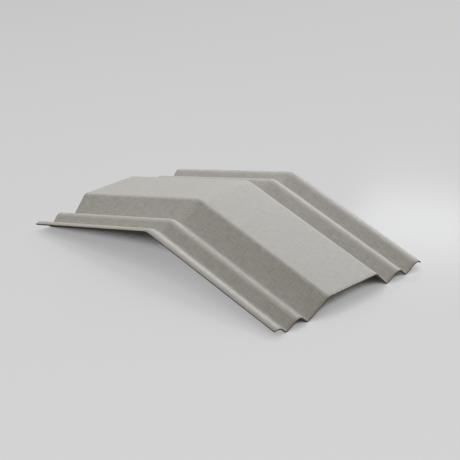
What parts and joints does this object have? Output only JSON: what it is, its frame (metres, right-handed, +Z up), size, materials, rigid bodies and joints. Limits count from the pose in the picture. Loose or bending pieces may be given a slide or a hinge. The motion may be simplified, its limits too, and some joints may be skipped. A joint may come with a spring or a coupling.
{
  "type": "roof ridge cap",
  "caption": "Rounded-fold fibre-cement ridge cap with a broad flat crown, small waves beside it and lapping edges; covers the ridge where two corrugated roof slopes meet.",
  "frame": {"origin": "centre of the footprint on the floor, under the fold", "axes": "+X across the ridge along the right wing, +Y along the ridge towards the overlap edge, +Z up"},
  "size_m": [1.746, 1.0604, 0.3317],
  "materials": {
    "fibre_cement": "matte, fine woven press mark"
  },
  "bodies": {
    "root": {"ridge_cap": "fibre_cement"}
  },
  "joints": []
}
